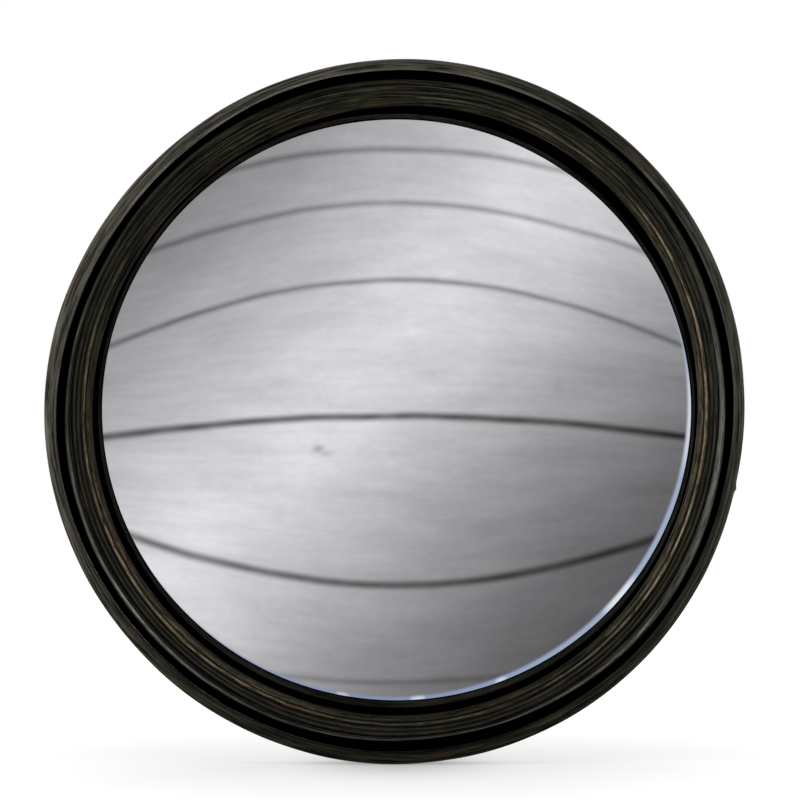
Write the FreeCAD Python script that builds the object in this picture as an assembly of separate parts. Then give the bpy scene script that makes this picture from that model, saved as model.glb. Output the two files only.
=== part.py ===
import FreeCAD
import Part

import os
from math import acos, asin, atan2, cos, pi, sin, sqrt

# Round convex wall mirror in a turned, ebonised wooden frame, built from its separate pieces.
# Millimetres. The wall is the plane Y = 0, the glass faces -Y and +Z is up.
# Radii run from the mirror's axis. Depths run from the frame's back face towards the viewer,
# and heights on the back hardware run from that face towards the wall.

# Opening and convex glass
SIGHT_RADIUS = 166.9
GLASS_CURVE_RADIUS = 480.0
GLASS_THICKNESS = 4.0
GLASS_EDGE_GAP = 1.5
FELT_THICKNESS = 0.3
SEAT_CLEARANCE = 0.15

# Slip, the inner ring that frames the glass
LIP_WIDTH = 2.7
LIP_RISE = 1.6
LIP_ROUND = 0.6
LIP_EDGE_THICKNESS = 0.3
SLIP_FOOT_THICKNESS = 3.2
SLIP_CLEARANCE = 0.2

# Frame moulding, from the shadow gap outwards
GAP_WIDTH = 3.2
SHOULDER_WIDTH = 2.2
BAND_WIDTH = 3.4
BAND_FALL = 3.4
BAND_BULGE = 1.0
QUIRK_WIDTH = 0.7
QUIRK_DEPTH = 0.8
RIDGE_WIDTH = 2.4
RIDGE_RISE = 0.9
REED_COUNT = 2
REED_WIDTH = 2.4
REED_RISE = 0.45
BEAD_RADIUS = 2.05
COVE_RADIUS = 2.6
COVE_WALL = 4.6
RIM_RADIUS = 3.6
RIM_INSET = 2.3
RIM_OVERHANG = 0.9
RIM_DROP = 2.0
FIELD_DROP = 1.2
FRAME_DEPTH = 24.5
BACK_CHAMFER = 2.0

# Pieces that pack the glass from behind
PANEL_THICKNESS = 5.0
PANEL_CLEARANCE = 0.7
PANEL_CHAMFER = 0.8
PACKING_THICKNESS = 3.0
PACKING_WIDTH = 12.0
PACKING_INSET = 0.5
GASKET_SETBACK = 1.6
SPACER_COUNT = 6
SPACER_FIRST_ANGLE = 30.0
SPACER_SWEEP = 5.0
SPACER_DEPTH = 6.0
SPACER_CLEARANCE = 0.2

# Wood screws of the back hardware
SCREW_HEAD_RADIUS = 3.3
SCREW_HEAD_HEIGHT = 1.8
SCREW_HEAD_CROWN = 0.9
SCREW_SHANK_RADIUS = 1.75
SCREW_LENGTH = 13.0
SCREW_POINT = 4.0
SCREW_RECESS_SPAN = 3.4
SCREW_RECESS_WIDTH = 0.9
SCREW_RECESS_DEPTH = 1.0
PILOT_CLEARANCE = 0.05
PILOT_SPARE_DEPTH = 1.0

# Turn buttons that hold the back panel
BUTTON_COUNT = 6
BUTTON_FIRST_ANGLE = 0.0
BUTTON_PIVOT_INSET = 9.5
BUTTON_OVERLAP = 6.0
BUTTON_THICKNESS = 1.5
BUTTON_TAIL_RADIUS = 5.5
BUTTON_NOSE_RADIUS = 3.6
BUTTON_RIB_RADIUS = 1.1
BUTTON_RIB_HEIGHT = 0.6
BUTTON_RIB_GAP = 0.9
BUTTON_CLEARANCE = 0.15
RUNNING_CLEARANCE = 0.08

# Hanger at the top of the frame
HANGER_ANGLE = 90.0
HANGER_INSET = 1.6
STRAP_THICKNESS = 0.8
STRAP_WIDTH = 8.0
STRAP_HEAD_GAP = 0.2
RING_WIRE_RADIUS = 1.2
RING_SIDE_GAP = 1.8
RING_END_GAP = 0.7
RING_CORNER_RADIUS = 1.8

# Rubber bumpers that meet the wall
WALL_GAP = 6.0
BUMPER_COUNT = 4
BUMPER_FIRST_ANGLE = 45.0
BUMPER_BASE_RADIUS = 6.5
BUMPER_FACE_RADIUS = 4.4
BUMPER_ROUND = 1.2
BUMPER_INSET = 10.5

# Radii that follow from the sizes above
lip_radius = SIGHT_RADIUS + LIP_WIDTH
bore_radius = lip_radius + GAP_WIDTH
rebate_radius = bore_radius + SHOULDER_WIDTH
glass_radius = rebate_radius - GLASS_EDGE_GAP
foot_radius = rebate_radius - SLIP_CLEARANCE
panel_radius = rebate_radius - PANEL_CLEARANCE
packing_radius = glass_radius - PACKING_INSET
band_radius = bore_radius + BAND_WIDTH
ridge_start = band_radius + QUIRK_WIDTH
reed_start = ridge_start + RIDGE_WIDTH
reed_end = reed_start + REED_COUNT * REED_WIDTH
bead_start = reed_end + QUIRK_WIDTH
bead_end = bead_start + 2 * BEAD_RADIUS
arris_radius = bead_end + 2 * COVE_RADIUS
rim_centre_radius = arris_radius + RIM_INSET
outer_radius = rim_centre_radius + RIM_RADIUS
wall_radius = outer_radius - RIM_OVERHANG
pilot_radius = SCREW_SHANK_RADIUS + PILOT_CLEARANCE

# Depths that follow from the way the pieces stack up
rear_curve_radius = GLASS_CURVE_RADIUS - GLASS_THICKNESS
felt_curve_radius = GLASS_CURVE_RADIUS + SEAT_CLEARANCE
slip_curve_radius = felt_curve_radius + FELT_THICKNESS + SEAT_CLEARANCE
glass_edge_depth = PANEL_THICKNESS + PACKING_THICKNESS
curve_centre_depth = glass_edge_depth - sqrt(rear_curve_radius**2 - glass_radius**2)
slip_sight_depth = curve_centre_depth + sqrt(slip_curve_radius**2 - SIGHT_RADIUS**2)
slip_foot_depth = curve_centre_depth + sqrt(slip_curve_radius**2 - foot_radius**2)
shoulder_depth = slip_foot_depth + SLIP_FOOT_THICKNESS
lip_edge_depth = slip_sight_depth + LIP_EDGE_THICKNESS
lip_depth = lip_edge_depth + LIP_RISE
field_depth = FRAME_DEPTH - FIELD_DROP
bead_centre_depth = FRAME_DEPTH - BEAD_RADIUS
cove_centre_depth = bead_centre_depth - COVE_WALL
rim_centre_depth = FRAME_DEPTH - RIM_DROP - RIM_RADIUS

# Places and fits of the back hardware
button_pivot_radius = rebate_radius + BUTTON_PIVOT_INSET
button_reach = button_pivot_radius - (panel_radius - BUTTON_OVERLAP) - BUTTON_NOSE_RADIUS
knuckle_bore = RING_WIRE_RADIUS + RUNNING_CLEARANCE
knuckle_radius = knuckle_bore + STRAP_THICKNESS
strap_height = 2 * STRAP_THICKNESS
strap_screw_offset = knuckle_radius + STRAP_HEAD_GAP + SCREW_HEAD_RADIUS
strap_length = strap_screw_offset + STRAP_WIDTH / 2
ring_half_width = STRAP_WIDTH / 2 + RING_SIDE_GAP + RING_WIRE_RADIUS
ring_reach = strap_length + RING_END_GAP + RING_WIRE_RADIUS
ring_arm_length = ring_reach - ring_half_width
hanger_pivot_radius = wall_radius - HANGER_INSET - ring_reach - RING_WIRE_RADIUS
bumper_radius = wall_radius - BUMPER_INSET

ORIGIN = FreeCAD.Vector(0, 0, 0)
AXIS = FreeCAD.Vector(0, 1, 0)
ACROSS = FreeCAD.Vector(0, 0, 1)
FULL_TURN = 360.0


def at(radius, depth):
    """A point of a ring's section, in the half plane Z = 0."""
    return FreeCAD.Vector(radius, -WALL_GAP - depth, 0)


def spot(radius, height):
    """A point of a turned piece of hardware's section, drawn about its own axis."""
    return FreeCAD.Vector(radius, height, 0)


def flat(x, height, z):
    """A point of a flat piece of hardware, with +X outwards and Z along the frame."""
    return FreeCAD.Vector(x, height, z)


def outline(start, *steps):
    """The closed wire of straight runs, given as points, and arcs, given as (through, end) pairs."""
    edges = []
    here = start
    for step in steps + (start,):
        through, end = step if isinstance(step, tuple) else (None, step)
        if through:
            edges.append(Part.Arc(here, through, end).toShape())
        elif not end.isEqual(here, 1e-6):
            edges.append(Part.makeLine(here, end))
        here = end
    return Part.Wire(edges)


def turned(wire, sweep=FULL_TURN):
    """The ring, or a sector of it, that a section makes when it turns about the Y axis."""
    return Part.Face(wire).revolve(ORIGIN, AXIS, sweep)


def plate(wire, thickness):
    """A flat plate of the given outline, thickened towards the wall."""
    return Part.Face(wire).extrude(AXIS * thickness)


def dome_depth(curve_radius, radius):
    """Depth, at a radius, of a sphere about the glass's centre of curvature."""
    return curve_centre_depth + sqrt(curve_radius**2 - radius**2)


def dome_arc(curve_radius, start_radius, end_radius):
    """The (through, end) pair of an arc on a sphere about the glass's centre of curvature."""
    middle = (start_radius + end_radius) / 2
    through = at(middle, dome_depth(curve_radius, middle))
    return through, at(end_radius, dome_depth(curve_radius, end_radius))


def placed(shape, radius, angle):
    """Hardware drawn about (0, 0, 0), with +X outwards, moved to its place on the frame's back."""
    shape.translate(FreeCAD.Vector(radius, -WALL_GAP, 0))
    shape.rotate(ORIGIN, AXIS, -angle)
    return shape


def angles(count, first):
    """Evenly spaced angles about the mirror's axis, in degrees from +X towards +Z."""
    return [first + index * FULL_TURN / count for index in range(count)]


def hole(radius, low, high, x=0.0):
    """A round cutter square to the frame's back, between two heights."""
    return Part.makeCylinder(radius, high - low, flat(x, low, 0), AXIS)


def reed_arcs():
    """The rounded reeds of the field, from the inner one outwards."""
    arcs = []
    for index in range(REED_COUNT):
        inner = reed_start + index * REED_WIDTH
        crest = at(inner + REED_WIDTH / 2, field_depth + REED_RISE)
        arcs.append((crest, at(inner + REED_WIDTH, field_depth)))
    return arcs


def frame_ring():
    """Turned moulding: inner band, ridge, reeds, bead, cove and rounded rim, rebated from behind."""
    quirk_depth = field_depth - QUIRK_DEPTH
    band_start = at(bore_radius, field_depth - BAND_FALL)
    band_end = at(band_radius, field_depth)
    chord = band_end - band_start
    bulge = FreeCAD.Vector(chord.y, -chord.x, 0).normalize() * BAND_BULGE
    band_arc = ((band_start + band_end) * 0.5 + bulge, band_end)
    ridge_crest = at(ridge_start + RIDGE_WIDTH / 2, field_depth + RIDGE_RISE)
    ridge_arc = (ridge_crest, at(reed_start, field_depth))
    bead_arc = (at(bead_start + BEAD_RADIUS, FRAME_DEPTH), at(bead_end, bead_centre_depth))
    cove_floor = at(bead_end + COVE_RADIUS, cove_centre_depth - COVE_RADIUS)
    cove_arc = (cove_floor, at(arris_radius, cove_centre_depth))
    arris_rise = sqrt(RIM_RADIUS**2 - RIM_INSET**2)
    rim_fall = sqrt(RIM_RADIUS**2 - (RIM_RADIUS - RIM_OVERHANG) ** 2)
    rim_slant = RIM_RADIUS * sqrt(0.5)
    rim_brow = at(rim_centre_radius + rim_slant, rim_centre_depth + rim_slant)
    rim_arc = (rim_brow, at(wall_radius, rim_centre_depth - rim_fall))
    section = outline(
        at(rebate_radius, 0),
        at(rebate_radius, shoulder_depth),
        at(bore_radius, shoulder_depth),
        band_start,
        band_arc,
        at(band_radius + QUIRK_WIDTH / 2, quirk_depth),
        at(ridge_start, field_depth),
        ridge_arc,
        *reed_arcs(),
        at(reed_end + QUIRK_WIDTH / 2, quirk_depth),
        at(bead_start, bead_centre_depth),
        bead_arc,
        at(bead_end, cove_centre_depth),
        cove_arc,
        at(arris_radius, rim_centre_depth + arris_rise),
        rim_arc,
        at(wall_radius, BACK_CHAMFER),
        at(wall_radius - BACK_CHAMFER, 0),
    )
    pilot_depth = SCREW_LENGTH + PILOT_SPARE_DEPTH
    pilots = [
        placed(hole(pilot_radius, -pilot_depth, 0), button_pivot_radius, angle)
        for angle in angles(BUTTON_COUNT, BUTTON_FIRST_ANGLE)
    ]
    strap_pilot = hole(pilot_radius, -pilot_depth, 0, -strap_screw_offset)
    pilots.append(placed(strap_pilot, hanger_pivot_radius, HANGER_ANGLE))
    return turned(section).cut(pilots)


def sight_slip():
    """Inner ring whose bevelled lip frames the glass and whose foot seats against the frame's shoulder."""
    crest_radius = lip_radius - LIP_ROUND
    crest_depth = lip_depth - LIP_ROUND
    run = crest_radius - SIGHT_RADIUS
    climb = crest_depth - lip_edge_depth
    bevel = atan2(climb, run) + asin(LIP_ROUND / sqrt(run**2 + climb**2))

    def crest(angle):
        return at(crest_radius + LIP_ROUND * cos(angle), crest_depth + LIP_ROUND * sin(angle))

    bevel_end = bevel + pi / 2
    section = outline(
        at(SIGHT_RADIUS, slip_sight_depth),
        dome_arc(slip_curve_radius, SIGHT_RADIUS, foot_radius),
        at(foot_radius, shoulder_depth),
        at(lip_radius, shoulder_depth),
        crest(0),
        (crest(bevel_end / 2), crest(bevel_end)),
        at(SIGHT_RADIUS, lip_edge_depth),
    )
    return turned(section)


def glazing_gasket():
    """Felt ring between the slip's hollow back and the domed glass."""
    inner = SIGHT_RADIUS + GASKET_SETBACK
    front_curve_radius = felt_curve_radius + FELT_THICKNESS
    section = outline(
        at(inner, dome_depth(felt_curve_radius, inner)),
        dome_arc(felt_curve_radius, inner, glass_radius),
        at(glass_radius, dome_depth(front_curve_radius, glass_radius)),
        dome_arc(front_curve_radius, glass_radius, inner),
    )
    return turned(section)


def mirror_glass():
    """Slumped round plate: a spherical dome of even thickness, silvered on its hollow side."""
    section = outline(
        at(0, dome_depth(GLASS_CURVE_RADIUS, 0)),
        dome_arc(GLASS_CURVE_RADIUS, 0, glass_radius),
        at(glass_radius, dome_depth(rear_curve_radius, glass_radius)),
        dome_arc(rear_curve_radius, glass_radius, 0),
    )
    return turned(section)


def packing_ring():
    """Cork ring between the back panel and the hollow side of the glass."""
    inner = packing_radius - PACKING_WIDTH
    seat = rear_curve_radius - SEAT_CLEARANCE
    section = outline(
        at(inner, PANEL_THICKNESS),
        at(packing_radius, PANEL_THICKNESS),
        at(packing_radius, dome_depth(seat, packing_radius)),
        dome_arc(seat, packing_radius, inner),
    )
    return turned(section)


def edge_spacers():
    """Cork pads in the rebate that keep the glass centred."""
    inner = glass_radius + SPACER_CLEARANCE
    front = PANEL_THICKNESS + SPACER_DEPTH
    pads = []
    for angle in angles(SPACER_COUNT, SPACER_FIRST_ANGLE):
        section = outline(
            at(inner, PANEL_THICKNESS),
            at(rebate_radius, PANEL_THICKNESS),
            at(rebate_radius, front),
            at(inner, front),
        )
        pad = turned(section, SPACER_SWEEP)
        pad.rotate(ORIGIN, AXIS, -angle - SPACER_SWEEP / 2)
        pads.append(pad)
    return Part.makeCompound(pads)


def back_panel():
    """Fibreboard disc that closes the frame, flush with its back face."""
    section = outline(
        at(0, 0),
        at(panel_radius - PANEL_CHAMFER, 0),
        at(panel_radius, PANEL_CHAMFER),
        at(panel_radius, PANEL_THICKNESS),
        at(0, PANEL_THICKNESS),
    )
    return turned(section)


def screw(seat, x=0.0):
    """Pan-head wood screw with a cross recess, its head seated at a height over the frame's back."""
    top = seat + SCREW_HEAD_HEIGHT
    crown_radius = (SCREW_HEAD_RADIUS**2 + SCREW_HEAD_CROWN**2) / (2 * SCREW_HEAD_CROWN)
    crown_angle = asin(SCREW_HEAD_RADIUS / crown_radius) / 2
    crown = spot(crown_radius * sin(crown_angle), top - crown_radius * (1 - cos(crown_angle)))
    section = outline(
        spot(0, -SCREW_LENGTH),
        spot(SCREW_SHANK_RADIUS, SCREW_POINT - SCREW_LENGTH),
        spot(SCREW_SHANK_RADIUS, seat),
        spot(SCREW_HEAD_RADIUS, seat),
        spot(SCREW_HEAD_RADIUS, top - SCREW_HEAD_CROWN),
        (crown, spot(0, top)),
    )
    slots = []
    for along, across in ((SCREW_RECESS_SPAN, SCREW_RECESS_WIDTH), (SCREW_RECESS_WIDTH, SCREW_RECESS_SPAN)):
        corner = flat(-along / 2, top - SCREW_RECESS_DEPTH, -across / 2)
        slots.append(Part.makeBox(along, SCREW_RECESS_DEPTH, across, corner))
    body = turned(section).cut(slots)
    body.translate(flat(x, 0, 0))
    return body


def turn_button(angle):
    """Tapered swivel plate with a pressed rib, its nose over the panel's edge."""
    top = BUTTON_CLEARANCE + BUTTON_THICKNESS
    lean = acos((BUTTON_TAIL_RADIUS - BUTTON_NOSE_RADIUS) / button_reach)

    def rim_point(centre_x, radius, side):
        return flat(centre_x - radius * cos(lean), BUTTON_CLEARANCE, side * radius * sin(lean))

    nose = flat(-button_reach - BUTTON_NOSE_RADIUS, BUTTON_CLEARANCE, 0)
    tail = flat(BUTTON_TAIL_RADIUS, BUTTON_CLEARANCE, 0)
    body = plate(
        outline(
            rim_point(0, BUTTON_TAIL_RADIUS, 1),
            rim_point(-button_reach, BUTTON_NOSE_RADIUS, 1),
            (nose, rim_point(-button_reach, BUTTON_NOSE_RADIUS, -1)),
            rim_point(0, BUTTON_TAIL_RADIUS, -1),
            (tail, rim_point(0, BUTTON_TAIL_RADIUS, 1)),
        ),
        BUTTON_THICKNESS,
    )
    rib_start = -(SCREW_HEAD_RADIUS + BUTTON_RIB_GAP + BUTTON_RIB_RADIUS)
    rib = plate(
        outline(
            flat(rib_start, top, BUTTON_RIB_RADIUS),
            flat(-button_reach, top, BUTTON_RIB_RADIUS),
            (flat(-button_reach - BUTTON_RIB_RADIUS, top, 0), flat(-button_reach, top, -BUTTON_RIB_RADIUS)),
            flat(rib_start, top, -BUTTON_RIB_RADIUS),
            (flat(rib_start + BUTTON_RIB_RADIUS, top, 0), flat(rib_start, top, BUTTON_RIB_RADIUS)),
        ),
        BUTTON_RIB_HEIGHT,
    )
    crest = top + BUTTON_RIB_HEIGHT
    crest_edges = [edge for edge in rib.Edges if edge.BoundBox.YMin > crest - 1e-6]
    rib = rib.makeFillet(BUTTON_RIB_HEIGHT / 2, crest_edges)
    bore = hole(SCREW_SHANK_RADIUS + RUNNING_CLEARANCE, 0, crest)
    return placed(body.fuse(rib).cut(bore), button_pivot_radius, angle)


def turn_button_screws():
    """One pivot screw for each turn button."""
    seat = 2 * BUTTON_CLEARANCE + BUTTON_THICKNESS
    screws = [
        placed(screw(seat), button_pivot_radius, angle)
        for angle in angles(BUTTON_COUNT, BUTTON_FIRST_ANGLE)
    ]
    return Part.makeCompound(screws)


def hanger_strap():
    """Folded strap: two leaves on the frame's back and the knuckle that they form round the wire."""
    half_width = STRAP_WIDTH / 2
    leaves = plate(
        outline(
            flat(0, 0, half_width),
            flat(-strap_screw_offset, 0, half_width),
            (flat(-strap_length, 0, 0), flat(-strap_screw_offset, 0, -half_width)),
            flat(0, 0, -half_width),
        ),
        strap_height,
    )
    start = flat(0, knuckle_radius, -half_width)
    knuckle = Part.makeCylinder(knuckle_radius, STRAP_WIDTH, start, ACROSS)
    bore = Part.makeCylinder(knuckle_bore, STRAP_WIDTH, start, ACROSS)
    screw_hole = hole(pilot_radius, 0, strap_height, -strap_screw_offset)
    return placed(leaves.fuse(knuckle).cut([bore, screw_hole]), hanger_pivot_radius, HANGER_ANGLE)


def hanger_ring():
    """D-shaped wire ring: a bar in the knuckle, two arms and a half-round bow, hanging down."""
    height = knuckle_radius
    bar_end = ring_half_width - RING_CORNER_RADIUS
    corner_cut = RING_CORNER_RADIUS * (1 - sqrt(0.5))

    def corner(side):
        return flat(-corner_cut, height, side * (ring_half_width - corner_cut))

    spine = outline(
        flat(0, height, -bar_end),
        flat(0, height, bar_end),
        (corner(1), flat(-RING_CORNER_RADIUS, height, ring_half_width)),
        flat(-ring_arm_length, height, ring_half_width),
        (flat(-ring_reach, height, 0), flat(-ring_arm_length, height, -ring_half_width)),
        flat(-RING_CORNER_RADIUS, height, -ring_half_width),
        (corner(-1), flat(0, height, -bar_end)),
    )
    wire_section = Part.Wire(Part.makeCircle(RING_WIRE_RADIUS, flat(0, height, -bar_end), ACROSS))
    ring = spine.makePipeShell([wire_section], True, False)
    return placed(ring, hanger_pivot_radius, HANGER_ANGLE)


def hanger_screw():
    """The screw that holds the strap."""
    return placed(screw(strap_height, -strap_screw_offset), hanger_pivot_radius, HANGER_ANGLE)


def wall_bumpers():
    """Rubber bumpers with a flat face on the wall plane."""
    brow = BUMPER_ROUND * sqrt(0.5)
    shoulder = BUMPER_FACE_RADIUS + BUMPER_ROUND
    edge = spot(BUMPER_FACE_RADIUS + brow, WALL_GAP - BUMPER_ROUND + brow)
    bumpers = []
    for angle in angles(BUMPER_COUNT, BUMPER_FIRST_ANGLE):
        section = outline(
            spot(0, 0),
            spot(BUMPER_BASE_RADIUS, 0),
            spot(shoulder, WALL_GAP - BUMPER_ROUND),
            (edge, spot(BUMPER_FACE_RADIUS, WALL_GAP)),
            spot(0, WALL_GAP),
        )
        bumpers.append(placed(turned(section), bumper_radius, angle))
    return Part.makeCompound(bumpers)


pieces = {
    "frame_ring": frame_ring(),
    "sight_slip": sight_slip(),
    "glazing_gasket": glazing_gasket(),
    "mirror_glass": mirror_glass(),
    "packing_ring": packing_ring(),
    "edge_spacers": edge_spacers(),
    "back_panel": back_panel(),
    "turn_button_screws": turn_button_screws(),
    "hanger_strap": hanger_strap(),
    "hanger_ring": hanger_ring(),
    "hanger_screw": hanger_screw(),
    "wall_bumpers": wall_bumpers(),
}
for index, angle in enumerate(angles(BUTTON_COUNT, BUTTON_FIRST_ANGLE)):
    pieces[f"turn_button_{index + 1}"] = turn_button(angle)

os.makedirs("parts", exist_ok=True)
for name, shape in pieces.items():
    shape.exportStep(f"parts/{name}.step")
    print(name, len(shape.Solids), shape.isValid(), round(shape.Volume, 1), shape.BoundBox)
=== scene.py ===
import math

import bpy
import numpy as np
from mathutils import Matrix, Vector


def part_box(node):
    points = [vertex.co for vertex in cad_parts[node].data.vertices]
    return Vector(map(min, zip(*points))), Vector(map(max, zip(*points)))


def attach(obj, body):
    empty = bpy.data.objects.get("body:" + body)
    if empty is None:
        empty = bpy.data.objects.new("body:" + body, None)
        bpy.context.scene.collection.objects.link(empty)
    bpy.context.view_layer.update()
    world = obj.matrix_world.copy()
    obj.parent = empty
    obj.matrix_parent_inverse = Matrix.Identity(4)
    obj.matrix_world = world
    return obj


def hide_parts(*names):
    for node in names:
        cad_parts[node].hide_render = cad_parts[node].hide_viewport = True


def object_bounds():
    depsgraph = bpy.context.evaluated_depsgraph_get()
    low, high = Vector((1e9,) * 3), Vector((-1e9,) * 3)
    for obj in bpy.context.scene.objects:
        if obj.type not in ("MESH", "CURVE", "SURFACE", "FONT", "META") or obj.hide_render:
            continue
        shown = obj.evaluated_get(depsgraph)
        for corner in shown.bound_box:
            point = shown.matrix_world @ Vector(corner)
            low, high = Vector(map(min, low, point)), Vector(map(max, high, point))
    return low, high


# Round convex wall mirror in a hand-turned, ebonised frame. Metres. The wall is the plane Y = 0,
# the glass faces -Y and +Z is up. Radii run from the mirror's axis, and depths run from the
# frame's back face towards the viewer, as in the CAD part. Angles round the ring are in degrees,
# from +X towards +Z.

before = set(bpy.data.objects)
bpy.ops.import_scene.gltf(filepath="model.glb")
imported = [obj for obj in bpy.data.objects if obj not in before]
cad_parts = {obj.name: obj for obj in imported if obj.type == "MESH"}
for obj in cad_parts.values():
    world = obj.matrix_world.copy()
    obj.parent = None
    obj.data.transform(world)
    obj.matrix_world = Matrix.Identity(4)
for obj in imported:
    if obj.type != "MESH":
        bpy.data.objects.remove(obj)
cad_low, cad_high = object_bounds()

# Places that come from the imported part
frame_low, frame_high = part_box("frame_ring")
slip_low, slip_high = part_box("sight_slip")
glass_low, glass_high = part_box("mirror_glass")
OUTER_RADIUS = frame_high.x
BACK_Y = frame_high.y
FRAME_DEPTH = BACK_Y - frame_low.y
FLOOR_Z = cad_low.z

# Glass
GLASS_RADIUS = glass_high.x
GLASS_APEX_DEPTH = BACK_Y - glass_low.y
GLASS_CURVE_RADIUS = 0.480
GLASS_THICKNESS = 0.004

# Slip, the inner ring that frames the glass
SIGHT_RADIUS = 0.1669
LIP_WIDTH = 0.0027
LIP_RISE = 0.0008
LIP_ROUND = 0.0004
LIP_WEAR = 0.0008
SLIP_FOOT_THICKNESS = 0.0032
SLIP_CURVE_RADIUS = 0.4806
SLIP_FOOT_RADIUS = slip_high.x
SLIP_FOOT_DEPTH = BACK_Y - slip_high.y
LIP_RADIUS = SIGHT_RADIUS + LIP_WIDTH
LIP_DEPTH = BACK_Y - slip_low.y - LIP_WEAR
SHOULDER_DEPTH = SLIP_FOOT_DEPTH + SLIP_FOOT_THICKNESS

# Frame moulding, from the shadow gap outwards
BORE_RADIUS = 0.1728
REBATE_RADIUS = 0.1750
BAND_WIDTH = 0.0034
BAND_FALL = 0.0034
QUIRK_WIDTH = 0.0007
QUIRK_DEPTH = 0.0008
RIDGE_WIDTH = 0.0024
RIDGE_RISE = 0.0009
REED_COUNT = 2
REED_WIDTH = 0.0024
REED_RISE = 0.00045
BEAD_RADIUS = 0.00205
COVE_RADIUS = 0.0022
COVE_WALL = 0.0046
RIM_RADIUS = 0.0036
RIM_OVERHANG = 0.0009
RIM_DROP = 0.0020
ARRIS_DROP = 0.0008
FIELD_DROP = 0.0012
BACK_CHAMFER = 0.0020
CORNER_WEAR_ROUNDS = 2

# Places in the moulding that follow from those
FIELD_DEPTH = FRAME_DEPTH - FIELD_DROP
BAND_DEPTH = FIELD_DEPTH - BAND_FALL
BAND_END = BORE_RADIUS + BAND_WIDTH
RIDGE_START = BAND_END + QUIRK_WIDTH
REED_START = RIDGE_START + RIDGE_WIDTH
REED_END = REED_START + REED_COUNT * REED_WIDTH
BEAD_START = REED_END + QUIRK_WIDTH
BEAD_END = BEAD_START + 2 * BEAD_RADIUS
BEAD_DEPTH = FRAME_DEPTH - BEAD_RADIUS
COVE_MIDDLE = BEAD_END + COVE_RADIUS
ARRIS_RADIUS = COVE_MIDDLE + COVE_RADIUS
RIM_CENTRE = OUTER_RADIUS - RIM_RADIUS
RIM_TOP = FRAME_DEPTH - RIM_DROP
RIM_DEPTH = RIM_TOP - RIM_RADIUS
WALL_RADIUS = OUTER_RADIUS - RIM_OVERHANG
WALL_TOP = RIM_DEPTH - math.sqrt(RIM_RADIUS**2 - (RIM_RADIUS - RIM_OVERHANG) ** 2)

# Steps of the meshes
FINE_STEP = 0.0004
COARSE_STEP = 0.0025
RING_STEPS = 640
DOME_STEPS = 256
DOME_RINGS = 72
# Angle of each step of a ring, and how far that step lies in the upper or the lower half
DEGREES = np.arange(RING_STEPS) / RING_STEPS * 360
ANGLE = np.radians(DEGREES)
UPPER = np.clip(np.sin(ANGLE), 0, 1)
LOWER = np.clip(-np.sin(ANGLE), 0, 1)

# Seasoning, as waves round the ring: (waves in a turn, height, angle of a crest)
FRAME_WARP = ((2, 0.00142, 60.0), (3, 0.00102, 55.0), (5, 0.00026, -36.0))
BAND_WARP = ((1, 0.00043, 59.0), (2, 0.00138, 57.0), (3, 0.00104, 58.0))
SLIP_WARP = ((1, 0.00075, 88.0), (2, 0.0012, 2.0))
FRAME_SHRINK = 0.0011
SLIP_SHRINK = 0.0008
SLIP_SPREAD = 0.0004
LIP_FOLLOW = 0.3
# The cove's two edges wander on their own as well
BEAD_EDGE_WARP = (
    (1, 0.0004, 5.0),
    (2, 0.0006, 5.0),
    (3, 0.0006, -25.0),
    (4, 0.0005, -45.0),
    (5, 0.0004, -30.0),
)
ARRIS_WARP = ((1, 0.0003, -40.0), (3, 0.0005, -25.0), (4, 0.0004, 15.0), (5, 0.0003, 35.0))
BEAD_EDGE_SHRINK = 0.0002
ARRIS_SHRINK = 0.0004
BEAD_EDGE_HOLD = 0.0008
EDGE_HOLD = 0.0004

# Hand work, as random heights: (height, cell along the section, cells round the ring)
SEED = 17
WANDER = ((0.00028, 0.0045, 26), (0.00012, 0.0018, 60))
TOOL_MARKS = ((0.00010, 0.0009, 34), (0.00006, 0.0005, 90))
SLIP_MARKS = ((0.00006, 0.0009, 40),)
FRONT_SINK = 0.0001
FRONT_EDGE_POWER = 0.3

# Knocks: a bruise that stands out of the outer edge, and pale chips on the inner band
BRUISE_ANGLE = 347.2
BRUISE_HALF_ANGLE = 0.45
BRUISE_HEIGHT = 0.0009
BRUISE_POWER = 16
# Each chip: angle, radius and depth
CHIPS = ((37.3, 0.1741, 0.0203), (36.7, 0.1743, 0.0206))
CHIP_INNER = 0.00035
CHIP_OUTER = 0.0006

# Lines rubbed along the crests, gilt inside and grey outside, the grey partly painted highlight:
# (radius, half width, share)
GILT_LINES = ((0.1751, 0.0013, 0.36), (0.1776, 0.0005, 1.0))
GREY_LINES = (
    (0.1805, 0.0004, 0.12),
    (0.1829, 0.0004, 0.12),
    (0.1872, 0.0007, 0.36),
    (0.1936, 0.0006, 0.85),
)
# Painted highlights: glints on the crests at given places round the ring, (radius, half width, angle,
# half angle, share)
PAINTED_GLINTS = (
    (0.1868, 0.0004, 217.0, 9.0, 0.9),
    (0.1868, 0.0004, 318.0, 4.0, 0.4),
    (0.1861, 0.0009, 356.0, 22.0, 0.5),
    (0.1939, 0.0004, 40.5, 3.0, 0.7),
    (0.1939, 0.0003, 139.0, 7.0, 0.7),
)
# How much of the lines is left: a mean, waves round the ring and random patches
GREY_MEAN = 0.85
GREY_PATCHES = ((0.5, 0.003, 22),)
GILT_MEAN = 0.42
GILT_WAVES = ((1, 0.26, 298.0), (2, 0.429, 13.0), (3, 0.221, -13.0))
GILT_PATCHES = ((0.4, 0.002, 48),)
LIP_RUB_MEAN = 0.08
LIP_RUB_PATCHES = ((0.08, 0.002, 30),)
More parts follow.
